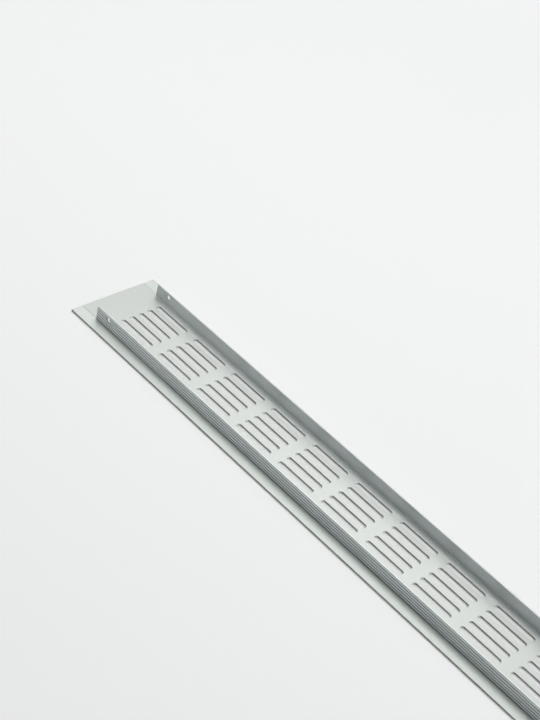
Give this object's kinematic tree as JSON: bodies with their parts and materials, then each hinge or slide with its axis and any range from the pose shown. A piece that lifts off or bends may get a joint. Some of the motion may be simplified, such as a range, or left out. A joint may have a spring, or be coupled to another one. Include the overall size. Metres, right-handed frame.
{
  "type": "ventilation grille",
  "caption": "Long flat ventilation grille: a punched face with groups of round-ended slots and ribbed legs behind that grip the sides of a cut-out.",
  "frame": {"origin": "middle of the show face, which the grille lies on", "axes": "+X along the grille, +Y across it towards the side where the slots lie nearer to the leg, +Z from the show face to the tips of the legs"},
  "size_m": [0.59, 0.08, 0.013],
  "materials": {
    "satin_aluminium": "satin anodised"
  },
  "bodies": {
    "root": {"vent_grille": "satin_aluminium"}
  },
  "joints": []
}
